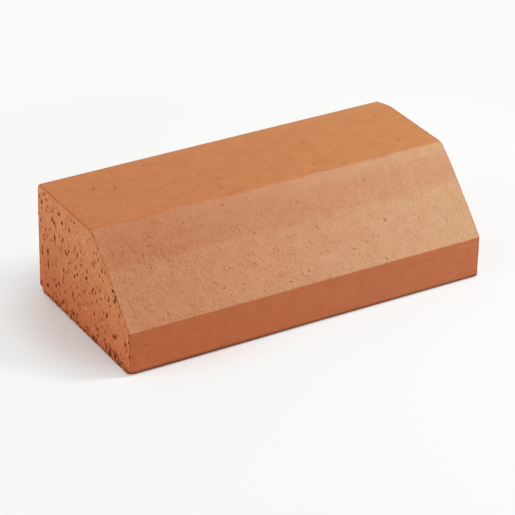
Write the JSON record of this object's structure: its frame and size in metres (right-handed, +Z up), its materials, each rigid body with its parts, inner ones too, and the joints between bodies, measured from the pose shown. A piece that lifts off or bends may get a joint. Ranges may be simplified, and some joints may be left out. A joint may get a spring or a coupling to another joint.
{
  "type": "clay brick",
  "caption": "Solid fired-clay plinth stretcher brick: flat bed, top, back and ends, with a 45 degree splay above a short upright front face.",
  "frame": {"origin": "middle of the bed, the flat face that the brick lies on, under the centre of its bounding box", "axes": "+X along the brick's length, +Y from the splayed front towards the upright back, +Z up from the bed to the top"},
  "size_m": [0.215, 0.1024, 0.065],
  "materials": {
    "fired_clay": "matte"
  },
  "bodies": {
    "root": {"plinth_brick": "fired_clay"}
  },
  "joints": []
}
